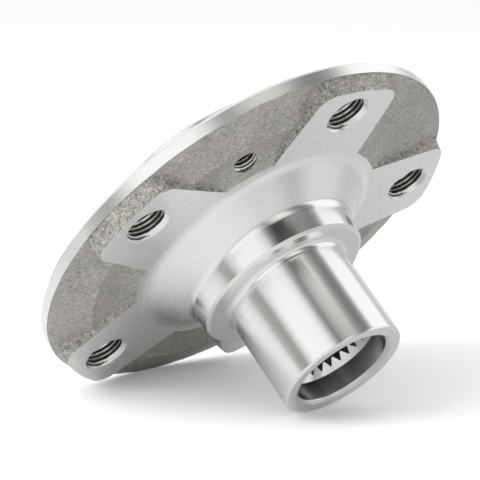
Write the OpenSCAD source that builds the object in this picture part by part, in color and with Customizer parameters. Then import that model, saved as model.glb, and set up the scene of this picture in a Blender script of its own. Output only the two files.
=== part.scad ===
/* [Wheel bolts] */
// Diameter of the wheel bolt circle
bolt_pcd = 120; // [118:0.5:122]
// Number of wheel bolts
bolt_count = 5; // [5:1:5]
// Nominal thread diameter of the wheel bolts
bolt_thread_d = 14; // [12:2:14]
// Pitch of the wheel bolt thread
bolt_pitch = 1.5; // [1.25:0.25:1.5]
// Nominal thread diameter of the brake disc screw
disc_screw_d = 8; // [6:2:8]
// Pitch of the disc screw thread
disc_screw_pitch = 1.25; // [1:0.25:1.25]
// How far the disc screw lies inside the bolt circle
disc_screw_inset = 9; // [8:0.1:9.5]

/* [Flange] */
// Width of the flange outside the bolt circle
rim_w = 12.8; // [12:0.1:20]
// Thickness of the flange at its turned rim
rim_t = 5.2; // [4.5:0.1:6]
// Chamfer around the disc face
disc_chamfer = 1.5; // [0.6:0.1:2]
// Height of the machined boss faces above the disc face
boss_h = 10.8; // [10:0.1:14]
// Depth of the forged web below the boss faces, between the cone and the ridge
web_drop = 1.6; // [1:0.1:2.5]
// How far the ridge in the web lies inside the bolt circle
ridge_inset = 1; // [0:0.5:4]
// Width of each boss face beside the cone
boss_root_w = 36; // [32:0.5:38]
// Width of each boss face at its outer end
boss_tip_w = 32.4; // [28:0.2:34]
// Corner radius of the boss faces
boss_corner_r = 4.5; // [3.5:0.5:6]
// Spread of the forged boss walls from face to foot
boss_draft = 1.4; // [0.5:0.1:2]

/* [Hub body] */
// How far the foot of the turned cone lies inside the bolt circle
cone_inset = 17; // [16:0.5:18]
// Height of the cone above the boss faces
cone_h = 10; // [9:0.1:10.6]
// Height from the cone's top to the bearing shoulder
neck_h = 7.85; // [7:0.05:9]
// Width of the shoulder around the bearing journal
shoulder_w = 7.6; // [7:0.1:8.2]
// Radius of the hollow corner between the shoulder and the journal
journal_fillet = 2.2; // [1.6:0.1:2.6]

/* [Bearing journal] */
// Diameter of the ground bearing journal
journal_d = 42; // [40:0.5:45]
// Length of the journal from the shoulder to its end
journal_len = 34.75; // [32:0.05:38]
// Thickness of the wall around the counterbore
journal_wall = 5; // [4.5:0.1:5.5]
// Depth of the counterbore
counterbore_depth = 7.7; // [6:0.1:9]

/* [Splines] */
// Number of spline teeth
spline_count = 27; // [24:1:30]
// How far the spline grooves lie inside the counterbore's wall
spline_ledge = 1; // [0.6:0.1:1.5]
// Depth of the spline grooves
spline_depth = 1.4; // [1:0.1:1.8]

/* [Wheel pilot] */
// Diameter of the ring that centres the wheel
pilot_d = 72.5; // [70:0.1:73]
// Height of the ring in front of the disc face
pilot_h = 19.5; // [16:0.1:22]
// Thickness of the ring's wall
pilot_wall = 7.25; // [5:0.25:9]
// Depth of the hollow for the shaft's nut
nut_recess_depth = 14; // [12:0.5:15]

/* [Hidden] */
$fn = 96;
eps = 0.01;

forged_colour = "darkgray";
turned_colour = "lightgray";

bolt_circle_r = bolt_pcd / 2;
bolt_step = 360 / bolt_count;
// A tapped hole is drawn at its thread's crest radius: 0.54 of the pitch inside the nominal radius
crest_inset = 0.5413;
bolt_hole_r = bolt_thread_d / 2 - crest_inset * bolt_pitch;
disc_screw_hole_r = disc_screw_d / 2 - crest_inset * disc_screw_pitch;
bolt_cone = 1.35;
disc_screw_angle = 1.5 * bolt_step;
disc_screw_r = bolt_circle_r - disc_screw_inset;
flange_r = bolt_circle_r + rim_w;

// Each boss reaches down to the disc face as a round core, so a bolt hole lies in one solid
boss_core_r = bolt_hole_r + 5;

// The hub body fills the plate out to the foot of the cone
core_r = bolt_circle_r - cone_inset;

// The forged web, from the machined ring out to the rim
web_inner_r = core_r + 1;
web_ridge_r = bolt_circle_r - ridge_inset;
web_slope_w = 4.5;
web_floor_z = boss_h - web_drop;
web_dip = 0.3;
web_mid_r = (web_inner_r + web_slope_w + web_ridge_r) / 2;
boss_tip_r = flange_r - 1.8;

journal_r = journal_d / 2;
journal_chamfer = 0.6;

// The cone's straight side, and the hollow curves at its foot and at the neck
cone_corner_r = core_r - 2.5;
neck_r = journal_r + shoulder_w;
neck_foot_z = boss_h + cone_h;
neck_fillet = 4;
shoulder_z = neck_foot_z + neck_h;
collar_chamfer = 0.85;
collar_bevel = 1;
collar_z = shoulder_z - collar_chamfer;
journal_end_z = shoulder_z + journal_len;
cone_angle = atan((neck_foot_z - boss_h) / (cone_corner_r - neck_r));
cone_blend = (core_r - cone_corner_r) / tan(cone_angle / 2);
neck_straight_z = neck_foot_z + neck_fillet * tan((90 - cone_angle) / 2);
arc_steps = 8;

mouth_chamfer = 1.1;
mouth_bevel = 1.2;
counterbore_r = journal_r - journal_wall;
counterbore_z = journal_end_z - counterbore_depth;
spline_major_r = counterbore_r - spline_ledge;
spline_minor_r = spline_major_r - spline_depth;
spline_step = 360 / spline_count;
// Shares of a step: half a groove at the tooth tips, half of it at its bottom, and the grooves' turn
spline_groove = 0.42;
spline_land = 0.05;
spline_turn = 0.8;
// Rise of the cone between the splines and the counterbore for each millimetre of its radius
lead_slope = 1.4;
lead_r = spline_minor_r - 1;
lead_z = counterbore_z - lead_slope * (counterbore_r - lead_r);

pilot_r = pilot_d / 2;
pilot_chamfer = 1;
pilot_root_r = pilot_r + 0.6;
pilot_root_h = 3;
nut_recess_r = pilot_r - pilot_wall;
nut_seat_z = -pilot_h + nut_recess_depth;
nut_mouth_chamfer = 1.2;
disc_screw_face_z = web_floor_z - web_dip / 3;
disc_screw_cone = 0.8;

function on_circle(r, a) = [r * cos(a), r * sin(a)];

// Hollow corner in a turned outline: from heading inwards at angle a to heading at angle b
function hollow_arc(centre, r, a, b) = [
    for (i = [0 : arc_steps])
        let (t = a + (b - a) * i / arc_steps)
            centre - r * [sin(t), cos(t)]
];

// Everything under the forged web, as a solid of revolution around the hub's body
module web_section() {
    polygon([
        [core_r, 0],
        [flange_r - disc_chamfer, 0],
        [flange_r, disc_chamfer],
        [flange_r, rim_t],
        [web_ridge_r + 1, web_floor_z - 0.1],
        [web_ridge_r, web_floor_z],
        [web_mid_r, web_floor_z - web_dip],
        [web_inner_r + web_slope_w, web_floor_z],
        [web_inner_r, boss_h],
        [core_r, boss_h]
    ]);
}

// Outline of a boss face, grown by the draft of its forged walls
module boss_outline(grow) {
    corner = boss_corner_r + grow;
    tip_u = sqrt(pow(boss_tip_r - boss_corner_r, 2) - pow(boss_tip_w / 2 - boss_corner_r, 2));
    hull() {
        for (side = [-1, 1]) {
            translate([tip_u, side * (boss_tip_w / 2 - boss_corner_r)])
                circle(corner, $fn = 32);
            translate([web_inner_r - 4, side * (boss_root_w / 2 - 1)])
                circle(1 + grow, $fn = 32);
        }
        for (a = [-6, -2, 2, 6])
            translate(on_circle(boss_tip_r - boss_corner_r, a))
                circle(corner, $fn = 32);
    }
}

// Forged pad of one boss, from its foot on the web to its machined face
module boss_pad() {
    drop = boss_h - rim_t;
    intersection() {
        hull() {
            translate([0, 0, boss_h - eps])
                linear_extrude(eps)
                    boss_outline(0);
            translate([0, 0, boss_h - drop])
                linear_extrude(eps)
                    boss_outline(boss_draft);
        }
        cylinder(h = boss_h, r = flange_r);
    }
}

// One boss: the pad above the web, the core through the plate and the tapped hole
module boss(index) {
    color(forged_colour)
        rotate(index * bolt_step)
            difference() {
                union() {
                    difference() {
                        boss_pad();
                        rotate_extrude()
                            web_section();
                        cylinder(h = boss_h + 1, r = web_inner_r);
                    }
                    translate([bolt_circle_r, 0, 0])
                        cylinder(h = boss_h, r = boss_core_r);
                }
                translate([bolt_circle_r, 0, -1])
                    cylinder(h = boss_h + 2, r = bolt_hole_r);
                translate([bolt_circle_r, 0, boss_h - bolt_cone])
                    cylinder(h = bolt_cone + eps, r1 = bolt_hole_r, r2 = bolt_hole_r + bolt_cone + eps);
            }
}

// Plate of the flange, bored for the boss cores and tapped for the disc screw
module flange_disc() {
    color(turned_colour)
        difference() {
            rotate_extrude()
                web_section();
            for (i = [0 : bolt_count - 1])
                rotate(i * bolt_step)
                    translate([bolt_circle_r, 0, -1])
                        cylinder(h = boss_h + 2, r = boss_core_r);
            rotate(disc_screw_angle)
                translate([disc_screw_r, 0, 0]) {
                    translate([0, 0, -1])
                        cylinder(h = boss_h + 2, r = disc_screw_hole_r);
                    translate([0, 0, disc_screw_face_z - disc_screw_cone])
                        cylinder(h = 2, r1 = disc_screw_hole_r, r2 = disc_screw_hole_r + 2);
                }
        }
}

module bolt_boss_1() { boss(0); }
module bolt_boss_2() { boss(1); }
module bolt_boss_3() { boss(2); }
module bolt_boss_4() { boss(3); }
module bolt_boss_5() { boss(4); }

// Splined hole: one notched outline, cut between two heights
module spline_bore(low, high) {
    tooth = [
        for (i = [0 : spline_count - 1])
            let (a = (i + spline_turn) * spline_step)
                each [
                    on_circle(spline_minor_r, a - spline_groove * spline_step),
                    on_circle(spline_major_r, a - spline_land * spline_step),
                    on_circle(spline_major_r, a + spline_land * spline_step),
                    on_circle(spline_minor_r, a + spline_groove * spline_step)
                ]
    ];
    translate([0, 0, low])
        linear_extrude(high - low)
            polygon(tooth);
}

// Turned body: cone and neck, up to the collar's edge
module hub_body() {
    color(turned_colour)
        difference() {
            rotate_extrude()
                polygon(concat(
                    [[0, 0], [core_r, 0]],
                    hollow_arc([core_r, boss_h + cone_blend], cone_blend, 0, cone_angle),
                    hollow_arc([neck_r + neck_fillet, neck_straight_z], neck_fillet, cone_angle, 90),
                    [
                        [neck_r, collar_z],
                        [0, collar_z]
                    ]
                ));
            spline_bore(-1, collar_z + 1);
        }
}

// Counterbore, with the chamfer at its mouth and the cone that leads into the splines
module counterbore() {
    rotate_extrude()
        polygon([
            [0, lead_z],
            [lead_r, lead_z],
            [counterbore_r, counterbore_z],
            [counterbore_r, journal_end_z - mouth_chamfer],
            [counterbore_r + mouth_bevel, journal_end_z],
            [counterbore_r + mouth_bevel, journal_end_z + 1],
            [0, journal_end_z + 1]
        ]);
}

// Ground shoulder and barrel, with the counterbore in the barrel's end
module bearing_journal() {
    fillet_centre = [journal_r + journal_fillet, shoulder_z + journal_fillet];
    color(turned_colour)
        difference() {
            rotate_extrude()
                polygon(concat(
                    [[0, collar_z], [neck_r, collar_z], [neck_r - collar_bevel, shoulder_z]],
                    hollow_arc(fillet_centre, journal_fillet, 0, 90),
                    [
                        [journal_r, journal_end_z - journal_chamfer],
                        [journal_r - journal_chamfer, journal_end_z],
                        [0, journal_end_z]
                    ]
                ));
            spline_bore(collar_z - 1, journal_end_z);
            counterbore();
        }
}

// Ring that centres the wheel, with the hollow for the shaft's nut
module wheel_pilot() {
    color(turned_colour)
        difference() {
            rotate_extrude()
                polygon([
                    [0, 0],
                    [pilot_root_r, 0],
                    [pilot_root_r, -pilot_root_h],
                    [pilot_r, -pilot_root_h - 0.6],
                    [pilot_r, -pilot_h + pilot_chamfer],
                    [pilot_r - pilot_chamfer, -pilot_h],
                    [0, -pilot_h]
                ]);
            translate([0, 0, -pilot_h - 1])
                cylinder(h = nut_recess_depth + 1, r = nut_recess_r);
            translate([0, 0, -pilot_h - eps])
                cylinder(h = nut_mouth_chamfer, r1 = nut_recess_r + nut_mouth_chamfer,
                         r2 = nut_recess_r);
            spline_bore(nut_seat_z - 1, 1);
        }
}

flange_disc();
bolt_boss_1();
bolt_boss_2();
bolt_boss_3();
bolt_boss_4();
bolt_boss_5();
hub_body();
bearing_journal();
wheel_pilot();
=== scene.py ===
"""Wheel hub: the looks of a forged, turned and tapped hub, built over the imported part."""

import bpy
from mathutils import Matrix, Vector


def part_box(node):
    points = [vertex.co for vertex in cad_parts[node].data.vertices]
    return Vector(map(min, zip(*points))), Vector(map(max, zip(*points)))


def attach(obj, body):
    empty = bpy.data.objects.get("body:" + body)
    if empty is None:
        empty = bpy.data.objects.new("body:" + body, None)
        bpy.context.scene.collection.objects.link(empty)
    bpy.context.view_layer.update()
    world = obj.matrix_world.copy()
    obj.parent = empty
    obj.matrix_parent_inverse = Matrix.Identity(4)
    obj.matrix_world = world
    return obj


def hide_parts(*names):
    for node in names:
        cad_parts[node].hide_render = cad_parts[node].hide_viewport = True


bl_info = {
    "name": "Wheel hub",
    "version": (1, 0, 0),
    "blender": (4, 5, 0),
    "location": "View3D > Sidebar > Wheel hub",
    "description": "Forged and machined wheel hub with threads and splines",
    "category": "Object",
}

import math

import bmesh
import bpy
import numpy as np
from bpy.props import FloatProperty, FloatVectorProperty, IntProperty, PointerProperty
from mathutils import Euler, Vector, noise

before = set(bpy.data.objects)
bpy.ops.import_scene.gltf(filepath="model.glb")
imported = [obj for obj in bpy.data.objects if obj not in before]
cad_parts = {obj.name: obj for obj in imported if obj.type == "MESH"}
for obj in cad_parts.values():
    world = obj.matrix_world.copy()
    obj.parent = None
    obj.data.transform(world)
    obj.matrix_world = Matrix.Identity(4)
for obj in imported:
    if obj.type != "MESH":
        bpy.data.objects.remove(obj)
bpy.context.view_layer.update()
MM = 0.001
BODY = "root"
BOSS_NODES = [f"bolt_boss_{i}" for i in range(1, 6)]

# What properties of one kind share
LENGTH = {"subtype": "DISTANCE", "unit": "LENGTH", "precision": 4}
COLOUR = {"subtype": "COLOR", "min": 0, "max": 1}
SHARE = {"min": 0, "max": 1}

# A thread's crest lies this share of the pitch inside the nominal radius
CREST = 0.5413

# Sides of a turned face and of a tapped hole
TURNED_SIDES = 360
TAPPED_SIDES = 72

# Points closer than WELD become one, lengths that differ by less than TOUCH count as equal, and
# an edge that turns by more than SHARP isn't shaded smooth
WELD = 2e-7
TOUCH = 1e-6
SHARP = math.radians(24)

# Small flats on the edges of the journal and of the centring ring, and how far from the ends of
# a long stretch its holding points lie
JOURNAL_EASE = 0.08 * MM
RING_EASE = 0.1 * MM
HOLDING = 0.1 * MM

# The finishes of the forged flange, and their places in its list of materials
FLANGE_FINISHES = ["forged_skin", "turned_finish", "cut_finish", "forged_wall", "thread_root_shade"]
SKIN, FACED, TAPPED, WALL, THREAD_ROOT_SHADE = range(len(FLANGE_FINISHES))

# A forged face whose normal rises less than this is a wall, and its finish paints darker shade and
# paler glints on the steep faces
WALL_RISE = 0.78

# The forged web: width of its inner slope, height and width of the crest on its ridge, how deep
# its floor sags between a start radius and the ridge, how far outside the ridge its outer slope
# starts, and the roundings where the floor meets the inner slope and the outer one
WEB_SLOPE = 4.5 * MM
RIDGE_CREST, RIDGE_WIDTH = 0.3 * MM, 0.5 * MM
WEB_SAG, SAG_START = 0.3 * MM, 48 * MM
RIDGE_REACH = 0.8 * MM
SLOPE_ROUNDING, RIDGE_ROUNDING = 0.5 * MM, 0.25 * MM

# The bosses' walls: fall for each unit away from the face, height above the face before it is
# cut flat, rounding at the foot, and the crease there
WALL_FALL = 4.0
WALL_EXCESS = 1.2 * MM
FOOT_ROUNDING = 1.6 * MM
CREASE_DEPTH, CREASE_WIDTH = 0.5 * MM, 0.8 * MM

# Amplitude, size and seed of the waver in the walls' outline and of the skin's lumps and grains
WAVER = (0.15 * MM, 4.0 * MM, 1)
LUMPS = (0.12 * MM, 6.0 * MM, 2)
GRAINS = (0.04 * MM, 1.5 * MM, 3)

# The skin's points: spacing of the rings, width of the closer zone at the rim and its number of
# rings, points and trial samples of one sector in a ring, how far over the boss faces the skin
# needs fewer points, because it is cut off there, and their share
RING_SPACING = 0.40 * MM
RIM_ZONE, RIM_RINGS = 2.4 * MM, 15
SECTOR_POINTS, SECTOR_SAMPLES = 180, 3001
ABOVE_CUT, ABOVE_SHARE = 0.3 * MM, 0.6

# The disc screw's hole: within which distance the skin's points are drawn aside, within which
# they are dropped, and within which an open edge of the skin is the hole's and is made round;
# then the gap between that edge and the thread, and how far the thread ends under the web
SCREW_REACH, SCREW_DROPPED = 8.0 * MM, 2.4 * MM
SCREW_SEARCH = 6.0 * MM
SCREW_EDGE = 0.12 * MM
SCREW_SUNK = 0.45 * MM

# How much wider than its thread a tapped hole is at its foot, and the disc screw's at its top too
TAP_RELIEF = 0.05 * MM

# Grain depth of each forged skin, and its darkest and palest share of the colour; these shares paint
# shade into the grain's hollows and glints on its bumps
FORGED_SKINS = {
    "forged_skin": (0.16 * MM, 0.5, 1.4),
    # The walls' darker low and paler high paint shade and glints on the steep faces, over a deeper
    # grain
    "forged_wall": (0.3 * MM, 0.15, 1.6),
}

# Pitch and depth of the tool marks in each machined finish, and how far its gloss is stretched
TOOL_MARKS = {
    "turned_finish": (0.22 * MM, 0.0001 * MM, 0.85),
    "ground_finish": (0.12 * MM, 0.0006 * MM, 0.85),
    "cut_finish": (0.3 * MM, 0.001 * MM, 0.2),
    "thread_root_shade": (0.3 * MM, 0.001 * MM, 0.2),
}
CUT_ROUGHNESS = 0.2
THREAD_ROOT_ROUGHNESS = 0.35

# The camera, and the floor on which the hub rests with its rim and the journal's end
CAMERA_PLACE = (-0.394879, 0.671365, 0.353727)
CAMERA_TURN = (-61.661, -31.029, 14.647)
FLOOR_UP = (0.230, 0.708, -0.668)
FLOOR_DROP = 57.6 * MM
FLOOR_RADIUS = 2.5
FLOOR_SIDES = 48
SENSOR_WIDTH = 36.0
NEAREST_SEEN = 0.05

# Where the mirrored floor's colour starts to get darker, which paints shade on the floor that the steel
# mirrors, and over what distance
FALL_START, FALL_WIDTH = 80 * MM, 280 * MM

# Name, turn from straight ahead, lift, distance, width and power of each lamp
LAMPS = [
    ("key_lamp", -120.0, 36.0, 0.9, 0.7, 5.2),
    ("fill_lamp", 60.0, 60.0, 1.0, 0.8, 0.5),
]

# Glowing sheets round the hub's axis that only mirrored rays see. They are no lamps: their shades paint
# reflections into the steel. Each sheet has its distance, its heights with a share from lower to upper
# shade, and its columns: angle about the axis, lower shade, upper shade, and how warm the glow is there
PAINTED_REFLECTIONS = {
    "painted_reflection_screen": (600 * MM, [(-1130 * MM, 0), (-175 * MM, 0), (-125 * MM, 1), (0, 1),
                               (60 * MM, 0.3), (200 * MM, 0), (850 * MM, 0)], [
        (-38, 1.0, 1.0, 0), (-30, 0.76, 0.7, 0), (-21, 0.58, 0.5, 0), (-13, 0.66, 0.66, 0),
        (-4, 1.12, 1.12, 0), (31, 1.1, 1.05, 0), (37, 0.45, 0.42, 0), (44, 0.23, 0.23, 0),
        (52, 0.23, 0.23, 0), (60, 0.4, 0.27, 0), (68, 0.9, 0.16, 1), (76, 0.98, 0.03, 1),
        (83, 0.88, 0.03, 1), (91, 0.66, 0.03, 0), (98, 0.34, 0.04, 0), (104, 0.5, 0.3, 0),
        (110, 0.88, 0.75, 0), (118, 1.05, 1.0, 0), (149, 1.08, 1.08, 0), (158, 0.8, 0.8, 0),
        (166, 0.38, 0.38, 1), (176, 0.42, 0.42, 1), (188, 0.5, 0.5, 0)]),
    # A black strip close to the hub that only mirrored rays see: it paints a dark reflection band on
    # the neck
    "painted_dark_reflection": (85 * MM, [(1 * MM, 0), (9 * MM, 0)], [(78, 0.0, 0.0, 0), (99, 0.0, 0.0, 0)]),
}
# Tint of the warm parts of the painted reflections
WARM_REFLECTION = (1.0, 0.975, 0.925)


def node_top(name):
    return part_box(name)[1][2]


def node_foot(name):
    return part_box(name)[0][2]


class FlangeSizes(bpy.types.PropertyGroup):
    """Sizes of the flange, its bosses and the forged web between them"""

    radius: FloatProperty(
        name="Flange radius", description="Radius of the turned rim",
        default=72.8 * MM, **LENGTH)
    rim: FloatProperty(
        name="Rim thickness", description="Height of the rim above the disc face",
        default=5.2 * MM, **LENGTH)
    rim_chamfer: FloatProperty(
        name="Rim chamfer", description="Chamfer between the rim and the disc face",
        default=1.5 * MM, **LENGTH)
    boss_height: FloatProperty(
        name="Boss height", description="Height of the machined boss faces above the disc face",
        default=10.8 * MM, **LENGTH)
    boss_root: FloatProperty(
        name="Boss half width beside the cone", description="Half width of a boss face at its root",
        default=18.0 * MM, **LENGTH)
    boss_tip: FloatProperty(
        name="Boss half width at the tip", description="Half width of a boss face at its outer end",
        default=16.2 * MM, **LENGTH)
    boss_corner: FloatProperty(
        name="Boss corner radius", description="Radius of the two outer corners of a boss face",
        default=4.5 * MM, **LENGTH)
    boss_inset: FloatProperty(
        name="Boss inset", description="How far the bosses' outer ends lie inside the rim",
        default=1.8 * MM, **LENGTH)
    web_inner: FloatProperty(
        name="Web inner radius", description="Radius where the forged web leaves the turned face",
        default=44.0 * MM, **LENGTH)
    ridge: FloatProperty(
        name="Ridge radius", description="Radius of the ridge that the forging tool leaves",
        default=59.0 * MM, **LENGTH)
    web_drop: FloatProperty(
        name="Web depth", description="Depth of the web under the boss faces inside the ridge",
        default=1.6 * MM, **LENGTH)
    bolt_circle: FloatProperty(
        name="Bolt circle radius", description="Radius of the wheel bolt circle",
        default=60.0 * MM, **LENGTH)
    bolts: IntProperty(
        name="Wheel bolts", description="Number of bosses and wheel bolt holes",
        default=len(BOSS_NODES), min=3, max=8)


class TurnedSizes(bpy.types.PropertyGroup):
    """Sizes of the turned body, the ground journal and the wheel centring ring"""

    core: FloatProperty(
        name="Cone foot radius", description="Radius where the cone rises from the boss faces",
        default=43.0 * MM, **LENGTH)
    neck: FloatProperty(
        name="Neck radius", description="Radius of the neck behind the shoulder",
        default=28.6 * MM, **LENGTH)
    neck_foot: FloatProperty(
        name="Neck foot", description="Height where the cone meets the neck",
        default=20.8 * MM, **LENGTH)
    collar: FloatProperty(
        name="Collar edge", description="Height where the neck's side meets the shoulder's chamfer",
        default=node_foot("bearing_journal"), **LENGTH)
    collar_bevel: FloatProperty(
        name="Collar chamfer", description="Width of the chamfer around the shoulder",
        default=1.0 * MM, **LENGTH)
    shoulder: FloatProperty(
        name="Shoulder height", description="Height of the bearing shoulder",
        default=28.65 * MM, **LENGTH)
    journal_fillet: FloatProperty(
        name="Journal fillet", description="Radius of the hollow between the shoulder and the journal",
        default=2.2 * MM, **LENGTH)
    journal: FloatProperty(
        name="Journal radius", description="Radius of the ground bearing journal",
        default=21.0 * MM, **LENGTH)
    journal_end: FloatProperty(
        name="Journal end", description="Height of the journal's end face",
        default=node_top("bearing_journal"), **LENGTH)
    counterbore: FloatProperty(
        name="Counterbore radius", description="Radius of the counterbore in the journal",
        default=16.0 * MM, **LENGTH)
    counterbore_depth: FloatProperty(
        name="Counterbore depth", description="Depth of the counterbore",
        default=7.7 * MM, **LENGTH)
    pilot: FloatProperty(
        name="Centring radius", description="Radius of the wheel centring ring",
        default=36.25 * MM, **LENGTH)
    pilot_end: FloatProperty(
        name="Centring ring end", description="Height of the ring's end, below the disc face",
        default=node_foot("wheel_pilot"), **LENGTH)
    nut_recess: FloatProperty(
        name="Nut recess radius", description="Radius of the hollow for the shaft's nut",
        default=29.0 * MM, **LENGTH)
    nut_seat: FloatProperty(
        name="Nut seat", description="Height of the nut's seat, below the disc face",
        default=-5.5 * MM, **LENGTH)
    cone_step: FloatProperty(
        name="Cone step", description="How far the cone's straight side starts inside its foot",
        default=2.5 * MM, **LENGTH)
    neck_fillet: FloatProperty(
        name="Neck fillet", description="Radius of the hollow between the cone and the neck",
        default=4.0 * MM, **LENGTH)
    neck_draft: FloatProperty(
        name="Neck draft", description="How far the neck's side leans from the axis",
        default=math.radians(6.0), subtype="ANGLE", unit="ROTATION", min=0, max=0.3)
    end_chamfer: FloatProperty(
        name="Journal chamfer", description="Chamfer at the journal's end",
        default=0.6 * MM, **LENGTH)
    mouth_bevel: FloatProperty(
        name="Counterbore chamfer", description="Width of the chamfer at the counterbore's mouth",
        default=1.2 * MM, **LENGTH)
    mouth_depth: FloatProperty(
        name="Counterbore chamfer depth", description="Depth of the chamfer at the counterbore's mouth",
        default=1.1 * MM, **LENGTH)
    ring_lead: FloatProperty(
        name="Centring ring lead", description="Chamfer at the end of the wheel centring ring",
        default=1.0 * MM, **LENGTH)


class CutSizes(bpy.types.PropertyGroup):
    """Sizes of the threads and splines"""

    bolt_thread: FloatProperty(
        name="Bolt thread radius", description="Nominal radius of the wheel bolt thread",
        default=7.0 * MM, **LENGTH)
    bolt_pitch: FloatProperty(
        name="Bolt thread pitch", description="Pitch of the wheel bolt thread",
        default=1.5 * MM, **LENGTH)
    bolt_mouth: FloatProperty(
        name="Bolt hole mouth", description="Radius of the countersink on the boss face",
        default=7.55 * MM, **LENGTH)
    screw_thread: FloatProperty(
        name="Disc screw radius", description="Nominal radius of the disc screw thread",
        default=4.0 * MM, **LENGTH)
    screw_pitch: FloatProperty(
        name="Disc screw pitch", description="Pitch of the disc screw thread",
        default=1.25 * MM, **LENGTH)
    screw_circle: FloatProperty(
        name="Disc screw place", description="Distance of the disc screw from the axis",
        default=51.0 * MM, **LENGTH)
    splines: IntProperty(
        name="Splines", description="Number of spline teeth", default=27, min=12, max=48)
    spline_root: FloatProperty(
        name="Spline groove radius", description="Radius at the bottom of the spline grooves",
        default=15.0 * MM, **LENGTH)
    spline_crest: FloatProperty(
        name="Spline tooth radius", description="Radius at the tips of the spline teeth",
        default=13.6 * MM, **LENGTH)
    spline_turn: FloatProperty(
        name="Spline turn", description="Turn of the grooves from the first boss, as a share of a step",
        default=0.8, **SHARE)
    spline_lead: FloatProperty(
        name="Spline lead-in", description="Rise of the lead-in cone for each unit of its radius",
        default=1.4, min=0.5, max=3)


class Finishes(bpy.types.PropertyGroup):
    """Colours and roughness of the steel's finishes"""

    forged: FloatVectorProperty(
        name="Forging skin", description="Colour of the blasted forging skin",
        default=(0.47, 0.452, 0.42), **COLOUR)
    turned: FloatVectorProperty(
        name="Turned steel", description="Colour of the turned faces",
        default=(0.9, 0.9, 0.898), **COLOUR)
    ground: FloatVectorProperty(
        name="Ground steel", description="Colour of the ground journal and neck",
        default=(0.86, 0.86, 0.855), **COLOUR)
    bored: FloatVectorProperty(
        name="Bored steel", description="Colour of the counterbore's wall",
        default=(0.44, 0.427, 0.413), **COLOUR)
    cut: FloatVectorProperty(
        name="Cut threads", description="Colour of the threads and splines",
        default=(0.78, 0.76, 0.74), **COLOUR)
    # Near-black colour that paints shade into the bottoms of the threads
    thread_root_shade: FloatVectorProperty(
        name="Thread roots", description="Colour at the bottom of the threads",
        default=(0.13, 0.125, 0.12), **COLOUR)
    turned_roughness: FloatProperty(
        name="Turned roughness", description="Roughness of the turned faces",
        default=0.27, **SHARE)
    ground_roughness: FloatProperty(
        name="Ground roughness", description="Roughness of the ground journal",
        default=0.16, **SHARE)


class StageSettings(bpy.types.PropertyGroup):
    """Floor, light and camera of the studio"""

    floor: FloatVectorProperty(
        name="Floor", description="Colour of the studio floor",
        default=(0.95, 0.95, 0.95), **COLOUR)
    ambient: FloatProperty(
        name="Ambient light", description="Strength of the even light from all round",
        default=0.85, min=0, max=2)
    lens: FloatProperty(
        name="Lens", description="Focal length of the camera",
        default=200.76, subtype="DISTANCE_CAMERA", unit="CAMERA")
    floor_glow: FloatProperty(
        name="Floor glow", description="Light that the floor adds where it is seen",
        default=0.12, **SHARE)
    floor_near: FloatProperty(
        name="Mirrored floor near by",
        description="Share of its colour that the steel mirrors near the hub",
        default=0.84, **SHARE)
    floor_far: FloatProperty(
        name="Mirrored floor far off",
        description="Share of its colour that the steel mirrors far from the hub",
        default=0.5, **SHARE)


class Field:
    """A node's output that takes part in plain arithmetic"""

    def __init__(self, nodes, socket):
        self.nodes = nodes
        self.socket = socket

    def math(self, operation, first, second):
        return self.nodes.add("ShaderNodeMath", {"operation": operation}, {0: first, 1: second})

    def __add__(self, other):
        return self.math("ADD", self, other)

    def __radd__(self, other):
        return self.math("ADD", other, self)

    def __sub__(self, other):
        return self.math("SUBTRACT", self, other)

    def __rsub__(self, other):
        return self.math("SUBTRACT", other, self)

    def __mul__(self, other):
        return self.math("MULTIPLY", self, other)

    def __rmul__(self, other):
        return self.math("MULTIPLY", other, self)

    def __truediv__(self, other):
        return self.math("DIVIDE", self, other)

    def __pow__(self, other):
        return self.math("POWER", self, other)

    def __mod__(self, other):
        return self.math("FLOORED_MODULO", self, other)

    def __abs__(self):
        return self.math("ABSOLUTE", self, 0.0)

    def least(self, other):
        return self.math("MINIMUM", self, other)

    def most(self, other):
        return self.math("MAXIMUM", self, other)

    def held(self, low=0.0, high=1.0):
        return self.most(low).least(high)

    def floor(self):
        return self.math("FLOOR", self, 0.0)

    def sine(self):
        return self.math("SINE", self, 0.0)

    def cosine(self):
        return self.math("COSINE", self, 0.0)


class Nodes:
    """Builds one node tree: each call adds a node and gives back one of its outputs"""

    def __init__(self, tree):
        self.tree = tree
        tree.nodes.clear()

    def add(self, kind, settings=None, inputs=None, output=0):
        node = self.tree.nodes.new(kind)
        for name, value in (settings or {}).items():
            setattr(node, name, value)
        for name, value in (inputs or {}).items():
            if isinstance(value, Field):
                self.tree.links.new(value.socket, node.inputs[name])
            else:
                node.inputs[name].default_value = value
        return Field(self, node.outputs[output]) if len(node.outputs) else node

    def blend(self, share, first, second):
        settings = {"data_type": "RGBA", "clamp_factor": True}
        return self.add("ShaderNodeMix", settings, {0: share, 6: first, 7: second}, output=2)

    def noise(self, place, scale, detail=2.0, roughness=0.5):
        inputs = {"Vector": place, "Scale": scale, "Detail": detail, "Roughness": roughness}
        return self.add("ShaderNodeTexNoise", None, inputs)

    def bump(self, height, distance):
        inputs = {"Height": height, "Distance": distance, "Strength": 1.0}
        return self.add("ShaderNodeBump", None, inputs)

    def object_place(self):
        return self.add("ShaderNodeTexCoord", output="Object")


def with_alpha(colour, share=1.0):
    return tuple(channel * share for channel in colour) + (1.0,)


def new_material(name):
    material = bpy.data.materials.new(name)
    material.use_nodes = True
    return material, Nodes(material.node_tree)


def finish_material(nodes, inputs):
    surface = nodes.add("ShaderNodeBsdfPrincipled", None, inputs)
    nodes.add("ShaderNodeOutputMaterial", None, {"Surface": surface})


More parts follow.
